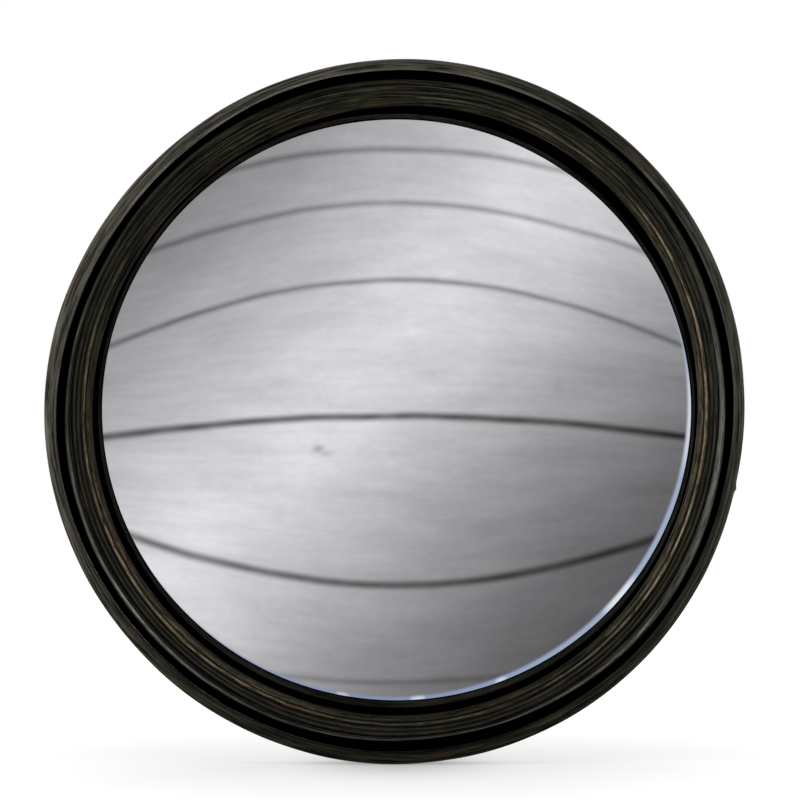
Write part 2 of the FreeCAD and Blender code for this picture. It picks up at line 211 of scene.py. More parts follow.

# Painted light on the rim: a pale sheen, least at the bottom and most at one angle, and dimmed at
# another
RIM_LIT = 1 - LOWER**1.2
SHEEN_MEAN = 0.75
SHEEN_SPREAD = 0.25
BRIGHTEST_SHEEN_ANGLE = 165.0
SHEEN_FADE = 0.0003
DIMMED_ANGLE = 54.0
DIMMED_HALF_ANGLE = 16.0
DIMMED_SHARE = 0.8
# The stain is thinner on one side of the ring
PLAIN_TONE = 0.55
TONE_SPREAD = 0.36
THIN_STAIN_ANGLE = 50.0

# Painted shade: darkness painted into the shadow gap, the cove and the valleys, and onto the sides that
# turn from the light
GAP_FADE = 0.0006
COVE_DARK_DROP = 0.0002
COVE_FADE = 0.0012
BEAD_SIDE_WIDTH = 0.0012
BEAD_SIDE_FADE = 0.0009
VALLEY_DEPTH = 0.00025
VALLEY_SHARE = 0.85
REED_VALLEY_SHARE = 0.5
SHADE_SHARE = 0.9
SHADE_FADE = 0.0026
BEAD_SHADE_WIDTH = 0.0030
BEAD_SHADE = 0.85 * UPPER**0.7
RIM_SHADE = LOWER**0.6
LIP_LIT_SHARE = 0.42
SLACK = 0.00002


def sampled(step, start, *runs):
    """Points at a step along straight runs, given as points, and arcs, given as (through, end)."""
    points = [np.array(start)]
    for run in runs:
        here = points[-1]
        if isinstance(run[0], tuple):
            centre, radius, first, sweep = arc_of(here, *map(np.array, run))
            count = max(2, math.ceil(abs(sweep) * radius / step))
            for share in np.arange(1, count + 1) / count:
                angle = first + sweep * share
                points.append(centre + radius * np.array((math.cos(angle), math.sin(angle))))
        else:
            end = np.array(run)
            count = max(1, math.ceil(np.linalg.norm(end - here) / step))
            points.extend(here + (end - here) * share for share in np.arange(1, count + 1) / count)
    return np.array(points)


def arc_of(start, through, end):
    """Centre, radius, first angle and sweep of the arc through three points."""
    sides = np.array((through - start, end - start))
    centre = start + np.linalg.solve(2 * sides, (sides**2).sum(axis=1))
    first, middle, last = (math.atan2(*(point - centre)[::-1]) for point in (start, through, end))
    sweep = (last - first) % math.tau
    if (middle - first) % math.tau > sweep:
        sweep -= math.tau
    return centre, np.linalg.norm(start - centre), first, sweep


def softened(points, rounds):
    """An open run of points with its corners worn round, ends kept."""
    for _ in range(rounds):
        points[1:-1] = (points[:-2] + 2 * points[1:-1] + points[2:]) / 4
    return points


def section_length(points):
    """Distance along a section from its first point."""
    return np.concatenate(((0,), np.cumsum(np.linalg.norm(np.diff(points, axis=0), axis=1))))


def section_normals(points):
    """Outward unit normals of a closed section that runs clockwise in radius and depth."""
    along = np.roll(points, -1, axis=0) - np.roll(points, 1, axis=0)
    normals = np.stack((-along[:, 1], along[:, 0]), axis=1)
    return normals / np.linalg.norm(normals, axis=1, keepdims=True)


def section_rise(points, normals):
    """How far each point of a closed section stands above or below its neighbours."""
    reach = 3
    chord = (np.roll(points, reach, axis=0) + np.roll(points, -reach, axis=0)) / 2
    return ((points - chord) * normals).sum(axis=1, keepdims=True)


def smooth_step(share):
    return share * share * (3 - 2 * share)


def drift(random, length, cell, cells):
    """Smooth random heights, about -1 to 1, over a section's length and a ring's steps."""
    grid = random.uniform(-1, 1, (int(length.max() / cell) + 2, cells))
    row, row_share = np.divmod(length / cell, 1)
    column, column_share = np.divmod(DEGREES / 360 * cells, 1)
    row = row.astype(int)[:, None]
    column = column.astype(int)[None, :] % cells
    row_share = smooth_step(row_share)[:, None]
    column_share = smooth_step(column_share)[None, :]
    after = (column + 1) % cells
    near = grid[row, column] * (1 - column_share) + grid[row, after] * column_share
    far = grid[row + 1, column] * (1 - column_share) + grid[row + 1, after] * column_share
    return near * (1 - row_share) + far * row_share


def drifts(random, length, kinds):
    """Random heights of several sizes together."""
    return sum(height * drift(random, length, cell, cells) for height, cell, cells in kinds)


def warp(waves):
    """Waves round a ring, at its steps."""
    return sum(height * facing(crest, count) for count, height, crest in waves)


def facing(angle, count=1):
    """1 at an angle and -1 half a wave away, for a number of waves round a ring."""
    return np.cos(count * (ANGLE - math.radians(angle)))


def spot(angle, half_angle):
    """1 at an angle of a ring, fading to 0 on both sides."""
    away = (DEGREES - angle + 180) % 360 - 180
    return np.exp(-((away / half_angle) ** 2))


def lines_on(radius, lines):
    """Share, from 0 to 1, that each point of a section has in lines along it."""
    return sum(share * np.exp(-(((radius - at) / half) ** 2)) for at, half, share in lines)


def linked(name, data):
    """A new object in the scene."""
    made = bpy.data.objects.new(name, data)
    bpy.context.scene.collection.objects.link(made)
    return made


def ring_object(name, radius, depth, attributes):
    """A closed ring from arrays of radius and depth over (section point, step of the ring)."""
    rows, steps = radius.shape
    points = np.stack((radius * np.cos(ANGLE), BACK_Y - depth, radius * np.sin(ANGLE)), axis=2)
    row, step = np.meshgrid(np.arange(rows), np.arange(steps), indexing="ij")
    next_row, next_step = (row + 1) % rows, (step + 1) % steps
    corners = ((row, step), (next_row, step), (next_row, next_step), (row, next_step))
    faces = np.stack([r * steps + s for r, s in corners], axis=2).reshape(-1, 4)
    mesh = bpy.data.meshes.new(name)
    mesh.from_pydata(points.reshape(-1, 3).tolist(), [], faces.tolist())
    mesh.shade_smooth()
    for key, values in attributes.items():
        layer = mesh.attributes.new(key, "FLOAT", "POINT")
        values = np.broadcast_to(values, radius.shape).astype(np.float32)
        layer.data.foreach_set("value", values.ravel())
    return linked(name, mesh)


def front_section():
    """Section of the moulding's front, from the shadow gap over the rim to the side."""
    slant = math.sqrt(0.5)
    quirk = FIELD_DEPTH - QUIRK_DEPTH
    cove_depth = BEAD_DEPTH - COVE_WALL
    band_brow = (BAND_END - BAND_WIDTH * slant, FIELD_DEPTH - BAND_FALL * (1 - slant))
    rim_brow = (RIM_CENTRE + RIM_RADIUS * slant, RIM_DEPTH + RIM_RADIUS * slant)
    shoulder = ((ARRIS_RADIUS + RIM_CENTRE) / 2, RIM_TOP - ARRIS_DROP / 4)
    reeds = []
    for start in REED_START + REED_WIDTH * np.arange(REED_COUNT):
        crest = (start + REED_WIDTH / 2, FIELD_DEPTH + REED_RISE)
        reeds.append((crest, (start + REED_WIDTH, FIELD_DEPTH)))
    points = sampled(
        FINE_STEP,
        (BORE_RADIUS, BAND_DEPTH),
        (band_brow, (BAND_END, FIELD_DEPTH)),
        (BAND_END + QUIRK_WIDTH / 2, quirk),
        (RIDGE_START, FIELD_DEPTH),
        ((RIDGE_START + RIDGE_WIDTH / 2, FIELD_DEPTH + RIDGE_RISE), (REED_START, FIELD_DEPTH)),
        *reeds,
        (REED_END + QUIRK_WIDTH / 2, quirk),
        (BEAD_START, BEAD_DEPTH),
        ((BEAD_START + BEAD_RADIUS, FRAME_DEPTH), (BEAD_END, BEAD_DEPTH)),
        (BEAD_END, cove_depth),
        ((COVE_MIDDLE, cove_depth - COVE_RADIUS), (ARRIS_RADIUS, cove_depth)),
        (ARRIS_RADIUS, RIM_TOP - ARRIS_DROP),
        (shoulder, (RIM_CENTRE, RIM_TOP)),
        (rim_brow, (WALL_RADIUS, WALL_TOP)),
    )
    return softened(points, CORNER_WEAR_ROUNDS)


def frame_section():
    """The frame's section, how far each point follows the warp, and how far it is on the front."""
    front = front_section()
    heel = (WALL_RADIUS - BACK_CHAMFER, 0)
    mouth = (REBATE_RADIUS, 0)
    ledge = (BORE_RADIUS, SHOULDER_DEPTH)
    side = sampled(COARSE_STEP, (WALL_RADIUS, WALL_TOP), (WALL_RADIUS, BACK_CHAMFER), heel)
    back = sampled(COARSE_STEP, heel, mouth)
    rebate = sampled(COARSE_STEP, mouth, (REBATE_RADIUS, SHOULDER_DEPTH), ledge)
    bore = sampled(COARSE_STEP / 2, ledge, (BORE_RADIUS, BAND_DEPTH))
    points = np.vstack((front, side[1:], back[1:], rebate[1:], bore[1:-1]))
    follow = np.concatenate((
        np.ones(len(front) + len(side) - 1),
        np.linspace(1, 0, len(back) - 1),
        np.zeros(len(rebate) - 1),
        np.linspace(0, 1, len(bore))[1:-1],
    ))
    on_front = np.zeros(len(points))
    on_front[: len(front)] = np.sin(np.linspace(0, math.pi, len(front))) ** FRONT_EDGE_POWER
    return points, follow[:, None], on_front[:, None]


def cove_wander(radius):
    """How far the bead's outer side and the rim's inner edge stray, fading out to both sides."""
    bead_stops = (BEAD_START, BEAD_END - BEAD_EDGE_HOLD, BEAD_END + EDGE_HOLD, COVE_MIDDLE)
    arris_stops = (COVE_MIDDLE, ARRIS_RADIUS - EDGE_HOLD, ARRIS_RADIUS + EDGE_HOLD, RIM_CENTRE)
    by_bead = np.interp(radius, bead_stops, (0, 1, 1, 0))
    by_arris = np.interp(radius, arris_stops, (0, 1, 1, 0))
    bead_shift = warp(BEAD_EDGE_WARP) - BEAD_EDGE_SHRINK
    arris_shift = warp(ARRIS_WARP) - ARRIS_SHRINK
    return by_bead * bead_shift + by_arris * arris_shift


def turned(random, points, length, follow, on_front):
    """Radii and depths of the frame at each step, as uneven as hand turning and seasoning leave it."""
    normals = section_normals(points)
    wander = drifts(random, length, WANDER)
    marks = drifts(random, length, TOOL_MARKS)
    outward = np.clip((points[:, :1] - BORE_RADIUS) / (OUTER_RADIUS - BORE_RADIUS), 0, 1)
    bend = (1 - outward) * warp(BAND_WARP) + outward * warp(FRAME_WARP)
    bruise = BRUISE_HEIGHT * spot(BRUISE_ANGLE, BRUISE_HALF_ANGLE) * outward**BRUISE_POWER
    radius = points[:, :1] + follow * (bend - FRAME_SHRINK + bruise)
    radius = radius + on_front * (wander + marks * normals[:, :1])
    radius = radius + (on_front > 0) * cove_wander(points[:, :1])
    depth = points[:, 1:] + on_front * (marks * normals[:, 1:] - FRONT_SINK)
    return radius, depth


def rim_dimming():
    """How much of the painted sheen and the rubbing on the rim is left where it is dimmed, from 0 to 1.
    """
    return 1 - DIMMED_SHARE * spot(DIMMED_ANGLE, DIMMED_HALF_ANGLE)


def grey_rub_and_highlight(random, radius, length):
    """How far the stain is rubbed to grey, partly as painted highlight: patchy lines, fading where shade
    is painted, and a few painted glints.
    """
    kept = np.clip(GREY_MEAN + drifts(random, length, GREY_PATCHES), 0, 1)
    kept = kept * np.where(radius > BEAD_END, RIM_LIT * rim_dimming(), 1 - BEAD_SHADE)
    rub_and_highlight = lines_on(radius, GREY_LINES) * kept
    # Painted glints on the crests
    for at, half_width, angle, half_angle, share in PAINTED_GLINTS:
        rub_and_highlight = rub_and_highlight + lines_on(radius, ((at, half_width, share),)) * spot(angle, half_angle)
    return np.clip(rub_and_highlight, 0, 1)


def gilt_rub(random, radius, length):
    """How far gilt shows along the inner crests."""
    kept = GILT_MEAN + warp(GILT_WAVES) + drifts(random, length, GILT_PATCHES)
    return lines_on(radius, GILT_LINES) * np.clip(kept, 0, 1)


def painted_rim_sheen(radius):
    """How much painted sheen, light from above and the sides, lies on the rim, from 0 to 1."""
    on_rim = np.clip((radius - ARRIS_RADIUS) / SHEEN_FADE + 1, 0, 1)
    return on_rim * RIM_LIT * (SHEEN_MEAN + SHEEN_SPREAD * facing(BRIGHTEST_SHEEN_ANGLE)) * rim_dimming()


def stain_tone(radius):
    """How thin the stain is: plain on the rim, and changing round the inner moulding."""
    return np.where(radius > BEAD_END, PLAIN_TONE, PLAIN_TONE + TONE_SPREAD * facing(THIN_STAIN_ANGLE))


def painted_recess_shade(points):
    """Painted shade, from 0 to 1, by how deep each point lies in the gap, the cove or a valley of the
    section.
    """
    radius, depth = points[:, :1], points[:, 1:]
    gap = np.clip((BAND_DEPTH + GAP_FADE - depth) / GAP_FADE, 0, 1) * (radius < REBATE_RADIUS)
    in_cove = (radius > BEAD_END - SLACK) & (radius < ARRIS_RADIUS + SLACK)
    cove = np.clip((BEAD_DEPTH - COVE_DARK_DROP - depth) / COVE_FADE, 0, 1) * in_cove
    bead_side_shade = np.clip((radius - BEAD_END + BEAD_SIDE_WIDTH) / BEAD_SIDE_FADE, 0, 1)
    bead_side_shade = bead_side_shade * (radius < BEAD_END + SLACK) * (depth > FRAME_DEPTH / 2)
    rise = section_rise(points, section_normals(points))
    in_reeds = (radius > REED_START) & (radius < REED_END)
    valley_shade = np.clip(-rise / VALLEY_DEPTH, 0, VALLEY_SHARE) * np.where(in_reeds, REED_VALLEY_SHARE, 1)
    return np.maximum.reduce((gap, cove, bead_side_shade, valley_shade))


def painted_side_shade(radius):
    """Painted shade on the bead's outer side, above, and the rim's inner side, below, where they turn
    from the light.
    """
    rim = np.clip(1 - (radius - ARRIS_RADIUS) / SHADE_FADE, 0, 1) * (radius > BEAD_END)
    bead = np.clip((radius - BEAD_END + BEAD_SHADE_WIDTH) / SHADE_FADE, 0, 1)
    bead = bead * (radius < BEAD_END + SLACK)
    return SHADE_SHARE * np.maximum(rim * RIM_SHADE, bead * BEAD_SHADE)


def frame_moulding():
    """The frame, with its wear, painted highlights, painted sheen and painted shade as attributes for
    its material.
    """
    random = np.random.RandomState(SEED)
    points, follow, on_front = frame_section()
    length = section_length(points)
    at = points[:, :1]
    radius, depth = turned(random, points, length, follow, on_front)
    return ring_object("frame_moulding", radius, depth, {
        "section": length[:, None],
        # Grey rubbing, partly painted highlight
        "rub_and_highlight": grey_rub_and_highlight(random, at, length) * on_front,
        "gilt": gilt_rub(random, at, length) * on_front,
        # Painted shade in the recesses and on the sides that turn from the light
        "painted_shade": np.maximum(painted_recess_shade(points), painted_side_shade(at) * on_front),
        # Painted sheen on the rim
        "rim_sheen": painted_rim_sheen(at) * on_front,
        "tone": stain_tone(at),
    })


def dome_depth(curve_radius, radius):
    """Depth, at a radius, of a sphere about the glass's centre of curvature."""
    return GLASS_APEX_DEPTH - GLASS_CURVE_RADIUS + np.sqrt(curve_radius**2 - radius**2)


def slip_section():
    """Section of the slip: a bevelled lip with a round crest, a low foot and a hollow back."""
    edge = LIP_DEPTH - LIP_RISE
    crest = np.array((LIP_RADIUS - LIP_ROUND, LIP_DEPTH - LIP_ROUND))
    run, climb = crest - (SIGHT_RADIUS, edge)
    tangent = math.atan2(climb, run) + math.asin(LIP_ROUND / math.hypot(run, climb))
    bevel_end = tangent + math.pi / 2
    bevel_top, crest_top = (
        tuple(crest + LIP_ROUND * np.array((math.cos(angle), math.sin(angle))))
        for angle in (bevel_end, bevel_end / 2)
    )
    middle = (SIGHT_RADIUS + SLIP_FOOT_RADIUS) / 2
    sight_back = (SIGHT_RADIUS, dome_depth(SLIP_CURVE_RADIUS, SIGHT_RADIUS))
    return sampled(
        FINE_STEP / 2,
        sight_back,
        (SIGHT_RADIUS, edge),
        bevel_top,
        (crest_top, (LIP_RADIUS, crest[1])),
        (LIP_RADIUS, SHOULDER_DEPTH),
        (SLIP_FOOT_RADIUS, SHOULDER_DEPTH),
        (SLIP_FOOT_RADIUS, SLIP_FOOT_DEPTH),
        ((middle, dome_depth(SLIP_CURVE_RADIUS, middle)), sight_back),
    )[:-1]


def slip_ring():
    """The slip, whose lip is a little oval and rides up and down the dome to suit."""
    random = np.random.RandomState(SEED + 1)
    points = slip_section()
    at = points[:, :1]
    normals = section_normals(points)
    length = section_length(points)
    loose = np.interp(at, (SIGHT_RADIUS, LIP_RADIUS, BORE_RADIUS), (1.0, LIP_FOLLOW, 0.0))
    tight = np.interp(at, (LIP_RADIUS, BORE_RADIUS), (1.0, 0.0))
    proud = np.interp(at, (LIP_RADIUS - LIP_ROUND, LIP_RADIUS), (1.0, 0.0))
    proud = proud * (points[:, 1:] > SHOULDER_DEPTH)
    shift = loose * (warp(SLIP_WARP) + SLIP_SPREAD) - tight * SLIP_SHRINK
    marks = proud * drifts(random, length, SLIP_MARKS)
    slope = SIGHT_RADIUS / math.sqrt(SLIP_CURVE_RADIUS**2 - SIGHT_RADIUS**2)
    radius = at + shift + marks * normals[:, :1]
    depth = points[:, 1:] - slope * shift + marks * normals[:, 1:]
    return ring_object("slip_ring", radius, depth, {
        "section": length[:, None],
        "rub_and_highlight": proud * (LIP_RUB_MEAN + drifts(random, length, LIP_RUB_PATCHES)),
        "gilt": 0.0,
        # The slip is painted dark as shade, all but part of its lip
        "painted_shade": 1 - LIP_LIT_SHARE * proud,
        "rim_sheen": 0.0,
        "tone": PLAIN_TONE,
    })


def dome_points(curve_radius):
    """Points of a dome: its apex, then one ring after another outwards."""
    angle = np.arange(DOME_STEPS) / DOME_STEPS * math.tau
    points = [(0, BACK_Y - dome_depth(curve_radius, 0), 0)]
    for radius in GLASS_RADIUS * np.arange(1, DOME_RINGS + 1) / DOME_RINGS:
        y = BACK_Y - dome_depth(curve_radius, radius)
        points.extend((radius * math.cos(a), y, radius * math.sin(a)) for a in angle)
    return points


def dome_faces(first):
    """Faces of a dome whose apex has a given index, seen from the front."""
    faces = []
    for step in range(DOME_STEPS):
        after = (step + 1) % DOME_STEPS
        faces.append((first, first + 1 + step, first + 1 + after))
        for row in range(DOME_RINGS - 1):
            inner = first + 1 + row * DOME_STEPS
            outer = inner + DOME_STEPS
            faces.append((inner + step, outer + step, outer + after, inner + after))
    return faces


def mirror_dome():
    """The slumped glass: a front dome and a hollow back, with exact normals for a clean reflection."""
    front = dome_points(GLASS_CURVE_RADIUS)
    back = dome_points(GLASS_CURVE_RADIUS - GLASS_THICKNESS)
    faces = dome_faces(0) + [face[::-1] for face in dome_faces(len(front))]
    front_rim = len(front) - DOME_STEPS
    back_rim = len(front) + len(back) - DOME_STEPS
    for step in range(DOME_STEPS):
        after = (step + 1) % DOME_STEPS
        faces.append((front_rim + step, back_rim + step, back_rim + after, front_rim + after))
    centre = np.array((0, BACK_Y - GLASS_APEX_DEPTH + GLASS_CURVE_RADIUS, 0))
    outward = (np.array(front) - centre) / GLASS_CURVE_RADIUS
    inward = (centre - np.array(back)) / (GLASS_CURVE_RADIUS - GLASS_THICKNESS)
    mesh = bpy.data.meshes.new("mirror_dome")
    mesh.from_pydata(front + back, [], faces)
    mesh.shade_smooth()
    mesh.normals_split_custom_set_from_vertices(np.vstack((outward, inward)).tolist())
    return linked("mirror_dome", mesh)


def set_inputs(tree, made, inputs):
    """Set a node's inputs to values, or link them to sockets."""
    for key, value in inputs.items():
        if isinstance(value, bpy.types.NodeSocket):
            tree.links.new(value, made.inputs[key])
        else:
            made.inputs[key].default_value = value


def node(tree, kind, inputs, **settings):
    """A new node with its settings and inputs."""
    made = tree.nodes.new(kind)
    for key, value in settings.items():
        setattr(made, key, value)
    set_inputs(tree, made, inputs)
    return made


def sums(tree, operation, first, second=0.0):
    """The result of one Math node."""
    return node(tree, "ShaderNodeMath", {0: first, 1: second}, operation=operation).outputs[0]


def plus(tree, first, second):
    return sums(tree, "ADD", first, second)


def minus(tree, first, second):
    return sums(tree, "SUBTRACT", first, second)


def times(tree, first, second):
    return sums(tree, "MULTIPLY", first, second)


def larger(tree, first, second):
    return sums(tree, "MAXIMUM", first, second)


def squared(tree, value):
    return times(tree, value, value)


def fading(tree, value):
    """1 where a value is 0, falling off exponentially as it grows."""
    return sums(tree, "EXPONENT", times(tree, value, -1.0))


def vectors(tree, operation, first, second, output="Vector"):
    """The result of one Vector Math node."""
    made = node(tree, "ShaderNodeVectorMath", {0: first, 1: second}, operation=operation)
    return made.outputs[output]


def scaled(tree, vector, by):
    return vectors(tree, "MULTIPLY", vector, by)


def noise(tree, vector, detail, roughness, scale=1.0):
    inputs = {"Vector": vector, "Scale": scale, "Detail": detail, "Roughness": roughness}
    return node(tree, "ShaderNodeTexNoise", inputs).outputs["Fac"]


def mapped(tree, value, start, end, kind="SMOOTHSTEP"):
    """A value taken from one range, a pair, to another."""
    inputs = {0: value, 1: start[0], 2: start[1], 3: end[0], 4: end[1]}
    return node(tree, "ShaderNodeMapRange", inputs, interpolation_type=kind).outputs[0]


def mixed(tree, share, first, second):
    """Two colours mixed by a share."""
    inputs = {0: share, 6: first, 7: second}
    return node(tree, "ShaderNodeMix", inputs, data_type="RGBA").outputs[2]


def bumped(tree, height, distance, strength):
    inputs = {"Height": height, "Distance": distance, "Strength": strength}
    return node(tree, "ShaderNodeBump", inputs).outputs["Normal"]


def attribute(tree, name):
    return node(tree, "ShaderNodeAttribute", {}, attribute_name=name).outputs["Fac"]


def place(tree):
    """A point's place on its object, which at rest is its place in the shared frame."""
    return node(tree, "ShaderNodeTexCoord", {}).outputs["Object"]


def parts(tree, vector):
    """The x, y and z of a vector."""
    return node(tree, "ShaderNodeSeparateXYZ", {0: vector}).outputs


def new_material(name):
    """A node material with its tree and its surface shader."""
    material = bpy.data.materials.new(name)
    material.use_nodes = True
    tree = material.node_tree
    return material, tree, tree.nodes["Principled BSDF"]


# Ranges that noise is read over, and shares that it is turned into
UNIT = (0.0, 1.0)
FALLING = (1.0, 0.0)
MIDDLE_NOISE = (0.3, 0.7)

# Stain and wear of the frame, with painted sheen, painted highlights and painted shade, in linear
# colours
STAIN_THICK = (0.0010, 0.0014, 0.0011, 1)
STAIN_THIN = (0.0580, 0.0570, 0.0350, 1)
STAIN_BROWN = (0.036, 0.0140, 0.0065, 1)
STAIN_TEAL = (0.0030, 0.0120, 0.0090, 1)
RIM_SHEEN = (0.180, 0.166, 0.133, 1)
RUBBED_GREY_AND_HIGHLIGHT = (0.42, 0.42, 0.375, 1)
GOLD = (0.56, 0.48, 0.31, 1)
COPPER = (0.50, 0.31, 0.18, 1)
PAINTED_SHADE_BLACK = (0.0006, 0.0006, 0.0006, 1)
CHIP_PALE = (0.45, 0.44, 0.40, 1)
WAX_GLOSS = (0.11, 0.0)
WAX_ROUGHNESS = (0.20, 0.38)
WAX_TINT = (0.97, 1.0, 0.82, 1)
STREAK_HEIGHT = 0.0002
STREAK_STRENGTH = 0.6
# Ranges of noise in which each look comes in, and the shares that it has at both ends
THIN_STREAKS = (0.44, 0.60)
BROWN_PATCHES = (0.54, 0.68)
TEAL_PATCHES = (0.54, 0.70)
COPPER_FLECKS = (0.50, 0.62)
GILT_SCRATCHES = (0.40, 0.58)
GREY_SCRATCHES = (0.38, 0.58)
GREY_SHARES = (0.25, 1.0)
SHEEN_STREAKS = (0.38, 0.64)
SHEEN_SHARES = (0.1, 1.0)
# Noise of the wood: (cells round the ring, cells in a metre of section, detail, roughness, scale)
STREAKS = (6.0, 950.0, 5.0, 0.7, 1.0)
SCRATCHES = (16.0, 1600.0, 5.0, 0.7, 1.0)
BROWNS = (12.0, 520.0, 4.0, 0.6, 1.0)
TEALS = (10.0, 560.0, 4.0, 0.6, 1.3)
FLECKS = (50.0, 700.0, 3.0, 0.6, 1.0)


def ring_noise(tree, around, along, *look):
    """Noise that runs round the ring and along its section, with no seam."""
    flat = scaled(tree, place(tree), (1, 0, 1))
    round_it = node(tree, "ShaderNodeVectorMath", {0: flat}, operation="NORMALIZE").outputs[0]
    round_it = scaled(tree, round_it, (around, 1, around))
    lift = node(tree, "ShaderNodeCombineXYZ", {"Y": times(tree, attribute(tree, "section"), along)})
    return noise(tree, vectors(tree, "ADD", round_it, lift.outputs[0]), *look)


def chipped(tree):
    """1 on the pale chips and 0 elsewhere."""
    share = 0.0
    for angle, radius, depth in CHIPS:
        turn = math.radians(angle)
        chip = (radius * math.cos(turn), BACK_Y - depth, radius * math.sin(turn))
        away = vectors(tree, "DISTANCE", place(tree), chip, "Value")
        share = larger(tree, mapped(tree, away, (CHIP_INNER, CHIP_OUTER), FALLING), share)
    return share


def stain(tree, streaks):
    """Black stain, streaked along the turning, with brown and teal in it."""
    thin = times(tree, mapped(tree, streaks, THIN_STREAKS, UNIT), attribute(tree, "tone"))
    colour = mixed(tree, thin, STAIN_THICK, STAIN_THIN)
    browns = mapped(tree, ring_noise(tree, *BROWNS), BROWN_PATCHES, UNIT)
    colour = mixed(tree, browns, colour, STAIN_BROWN)
    teals = mapped(tree, ring_noise(tree, *TEALS), TEAL_PATCHES, UNIT)
    return mixed(tree, teals, colour, STAIN_TEAL)


def worn(tree, colour, streaks, scratches):
    """A stain with painted sheen on the rim, grey rubbing partly painted as highlight, gilt rubbing,
    painted shade in the hollows and chips on it.
    """
    streaked_sheen = mapped(tree, streaks, SHEEN_STREAKS, SHEEN_SHARES)
    # Painted sheen on the rim
    rim_sheen = times(tree, attribute(tree, "rim_sheen"), streaked_sheen)
    colour = mixed(tree, rim_sheen, colour, RIM_SHEEN)
    scratched = mapped(tree, scratches, GREY_SCRATCHES, GREY_SHARES)
    grey = times(tree, attribute(tree, "rub_and_highlight"), scratched)
    # Grey rubbing, partly painted highlight
    colour = mixed(tree, grey, colour, RUBBED_GREY_AND_HIGHLIGHT)
    flecks = mapped(tree, ring_noise(tree, *FLECKS), COPPER_FLECKS, UNIT)
    gilt = times(tree, attribute(tree, "gilt"), mapped(tree, scratches, GILT_SCRATCHES, UNIT))
    colour = mixed(tree, gilt, colour, mixed(tree, flecks, GOLD, COPPER))
    # Painted shade: the recesses and turned-away sides go black
    colour = mixed(tree, attribute(tree, "painted_shade"), colour, PAINTED_SHADE_BLACK)
    return mixed(tree, chipped(tree), colour, CHIP_PALE)


def ebonised_wood():
    """Turned wood, stained black and rubbed through to grey and gilt on its crests, with painted
    highlights, painted sheen and painted shade.
    """
    material, tree, shader = new_material("ebonised_wood")
    streaks = ring_noise(tree, *STREAKS)
    scratches = ring_noise(tree, *SCRATCHES)
    set_inputs(tree, shader, {
        "Base Color": worn(tree, stain(tree, streaks), streaks, scratches),
        "Roughness": mapped(tree, scratches, MIDDLE_NOISE, WAX_ROUGHNESS, "LINEAR"),
        # Gloss fades out where shade is painted
        "Specular IOR Level": mapped(tree, attribute(tree, "painted_shade"), UNIT, WAX_GLOSS, "LINEAR"),
        "Specular Tint": WAX_TINT,
        "Normal": bumped(tree, streaks, STREAK_HEIGHT, STREAK_STRENGTH),
    })
    return material


# Silvering, with a haze of two colours
HAZE_CELLS = 14.0
HAZE_COOL = (0.90, 0.91, 0.92, 1)
HAZE_PLAIN = (0.93, 0.93, 0.93, 1)
HAZE_ROUGHNESS = (0.018, 0.028)


def silvered_glass():
    """Bright silvering with a faint haze."""
    material, tree, shader = new_material("silvered_glass")
    haze = noise(tree, place(tree), detail=3.0, roughness=0.5, scale=HAZE_CELLS)
    set_inputs(tree, shader, {
        "Base Color": mixed(tree, haze, HAZE_COOL, HAZE_PLAIN),
        "Metallic": 1.0,
        "Roughness": mapped(tree, haze, MIDDLE_NOISE, HAZE_ROUGHNESS, "LINEAR"),
    })
    return material


# Plain stuffs: fine grain with larger clouds in it
GRAIN_SHARE = 0.7
CLOUD_SHARE = 0.3
CLOUD_SCALE = 0.12
SPECKLE = (0.35, 0.65)
GRAIN_STRENGTH = 0.7


def speckled(name, dark, pale, scale, roughness, bump, metallic=0.0):
    """A plain stuff with a grain: two colours mixed by noise, with roughness and bump to match."""
    material, tree, shader = new_material(name)
    grain = noise(tree, place(tree), detail=6.0, roughness=0.65, scale=scale)
    cloud = noise(tree, place(tree), detail=3.0, roughness=0.5, scale=scale * CLOUD_SCALE)
    share = plus(tree, times(tree, grain, GRAIN_SHARE), times(tree, cloud, CLOUD_SHARE))
    set_inputs(tree, shader, {
        "Base Color": mixed(tree, mapped(tree, share, SPECKLE, UNIT), (*dark, 1), (*pale, 1)),
        "Metallic": metallic,
        "Roughness": mapped(tree, grain, MIDDLE_NOISE, roughness, "LINEAR"),
        "Normal": bumped(tree, grain, bump, GRAIN_STRENGTH),
    })
    return material


# Stuffs of the pieces behind the glass: dark, pale, grain in a metre, roughness, bump, metallic
STUFFS = {
    "zinc_steel": ((0.36, 0.36, 0.35), (0.62, 0.62, 0.60), 900.0, (0.28, 0.45), 0.00004, 1.0),
    "fibreboard": ((0.25, 0.158, 0.092), (0.36, 0.245, 0.150), 420.0, (0.6, 0.8), 0.0002),
    "cork": ((0.20, 0.115, 0.055), (0.48, 0.32, 0.18), 420.0, (0.8, 0.95), 0.0003),
    "felt": ((0.018, 0.018, 0.018), (0.05, 0.05, 0.05), 1400.0, (0.9, 1.0), 0.0002),
    "rubber": ((0.016, 0.016, 0.016), (0.034, 0.034, 0.034), 1200.0, (0.6, 0.75), 0.00005),
}
# The CAD nodes that show as they are, by stuff. Turn buttons and their screws share a prefix.
STUFF_NODES = {
    "zinc_steel": ("turn_button_", "hanger_"),
    "fibreboard": ("back_panel",),
    "cork": ("packing_ring", "edge_spacers"),
    "felt": ("glazing_gasket",),
    "rubber": ("wall_bumpers",),
}


def dress_solids():
    """Give each CAD node that shows its material."""
    for stuff, prefixes in STUFF_NODES.items():
        material = speckled(stuff, *STUFFS[stuff])
        for name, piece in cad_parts.items():
            if name.startswith(prefixes):
                piece.data.materials.clear()
                piece.data.materials.append(material)


def place_piece(piece, material, replaced):
    piece.data.materials.append(material)
    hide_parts(replaced)
    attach(piece, "frame")


